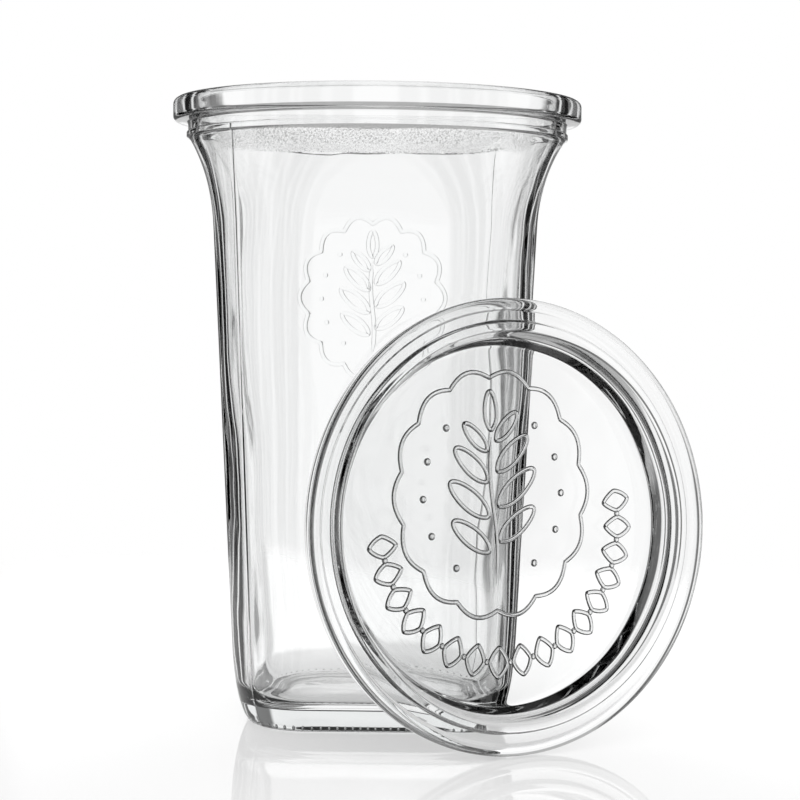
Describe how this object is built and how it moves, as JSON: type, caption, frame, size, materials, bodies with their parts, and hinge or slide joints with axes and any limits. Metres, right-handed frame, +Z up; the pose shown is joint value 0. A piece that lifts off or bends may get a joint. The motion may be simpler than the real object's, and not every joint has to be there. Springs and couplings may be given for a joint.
{
  "type": "preserving jar",
  "caption": "Empty square glass preserving jar that flares to a round mouth with a wide sealing rim, and its loose dished glass lid leaning against it.",
  "frame": {"origin": "middle of the bearing ring that the jar stands on", "axes": "+Z up along the jar's axis; the jar's four faces look along +X, -X, +Y and -Y; the lid leans on the corner between -Y and +X"},
  "size_m": [0.1385, 0.1307, 0.162],
  "materials": {
    "clear_glass": "gloss"
  },
  "bodies": {
    "root": {"jar": "clear_glass", "lid": "clear_glass"}
  },
  "joints": []
}
